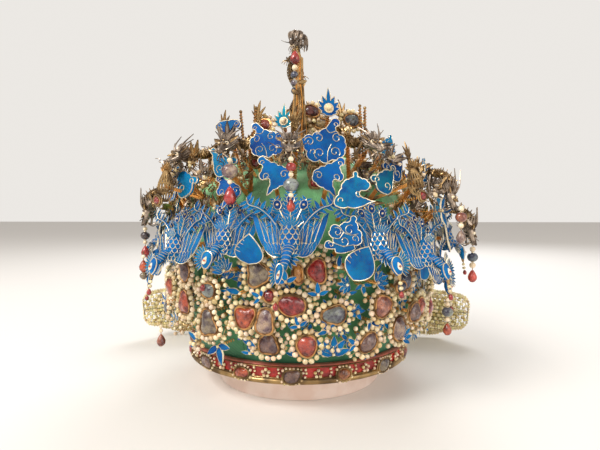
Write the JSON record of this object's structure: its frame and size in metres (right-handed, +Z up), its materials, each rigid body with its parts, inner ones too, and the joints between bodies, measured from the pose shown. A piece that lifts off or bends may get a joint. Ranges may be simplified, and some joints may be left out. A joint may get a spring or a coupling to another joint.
{
  "type": "phoenix crown on a display stand",
  "caption": "Ceremonial cap-shaped crown with gold dragons, blue feather phoenixes and clouds, pearl flowers set with stones, bead strings and side fans, on a low drum stand.",
  "frame": {"origin": "middle of the display stand's foot, on the surface that it stands on", "axes": "+Z up, the crown's front faces -Y, +X to the right as seen from the front"},
  "size_m": [0.3786, 0.3039, 0.2945],
  "materials": {
    "stand_plaster": "matt pale pink plaster",
    "cap_lacquer": "green cloth over a lacquered shell, low sheen",
    "band_red": "red lacquer with bronze edges, satin",
    "aged_gold": "aged gilt filigree wire, satin",
    "kingfisher_blue": "blue feather inlay between gilt wires, satin",
    "set_stone": "polished stones in gilt settings, glossy",
    "pearl": "pearl lustre",
    "pearl_lace": "seed pearls on a gilt lattice"
  },
  "bodies": {
    "root": {"stand_drum": "stand_plaster", "stand_plate": "stand_plaster", "cap": "cap_lacquer", "brow_band": "band_red", "dragon_top_front": "aged_gold", "dragon_centre": "aged_gold", "dragon_left_1": "aged_gold", "dragon_right_1": "aged_gold", "dragon_left_2": "aged_gold", "dragon_right_2": "aged_gold", "dragon_left_3": "aged_gold", "dragon_right_3": "aged_gold", "dragon_top_back": "aged_gold", "dragon_back_left": "aged_gold", "dragon_back_centre": "aged_gold", "dragon_back_right": "aged_gold", "phoenix_front": "kingfisher_blue", "phoenix_left_1": "kingfisher_blue", "phoenix_right_1": "kingfisher_blue", "phoenix_left_2": "kingfisher_blue", "phoenix_right_2": "kingfisher_blue", "phoenix_left_3": "kingfisher_blue", "phoenix_right_3": "kingfisher_blue", "phoenix_left_4": "kingfisher_blue", "phoenix_right_4": "kingfisher_blue", "cloud_front_left": "kingfisher_blue", "cloud_front_right": "kingfisher_blue", "cloud_peak": "kingfisher_blue", "cloud_bloom": "kingfisher_blue", "cloud_bank_left": "kingfisher_blue", "cloud_bank_right": "kingfisher_blue", "cloud_side_left": "kingfisher_blue", "cloud_side_right": "kingfisher_blue", "cloud_bank_back": "kingfisher_blue", "flaming_pearl": "kingfisher_blue", "flower_front_middle": "set_stone", "flower_front_upper_left": "set_stone", "flower_front_upper_right": "set_stone", "flower_front_left": "set_stone", "flower_front_right": "set_stone", "flower_front_lower_right": "set_stone", "flower_front_lower_left": "set_stone", "flower_right_pink": "set_stone", "flower_left_oval": "set_stone", "flowers_left": "set_stone", "flowers_right": "set_stone", "flowers_side_left": "set_stone", "flowers_side_right": "set_stone", "flowers_back": "set_stone", "fan_left_1": "pearl_lace", "fan_left_2": "pearl_lace", "fan_left_3": "pearl_lace", "fan_right_1": "pearl_lace", "fan_right_2": "pearl_lace", "fan_right_3": "pearl_lace", "beads_top": "pearl", "beads_centre": "pearl", "beads_left_1": "pearl", "beads_left_3": "pearl", "beads_right_3": "pearl"}
  },
  "joints": []
}
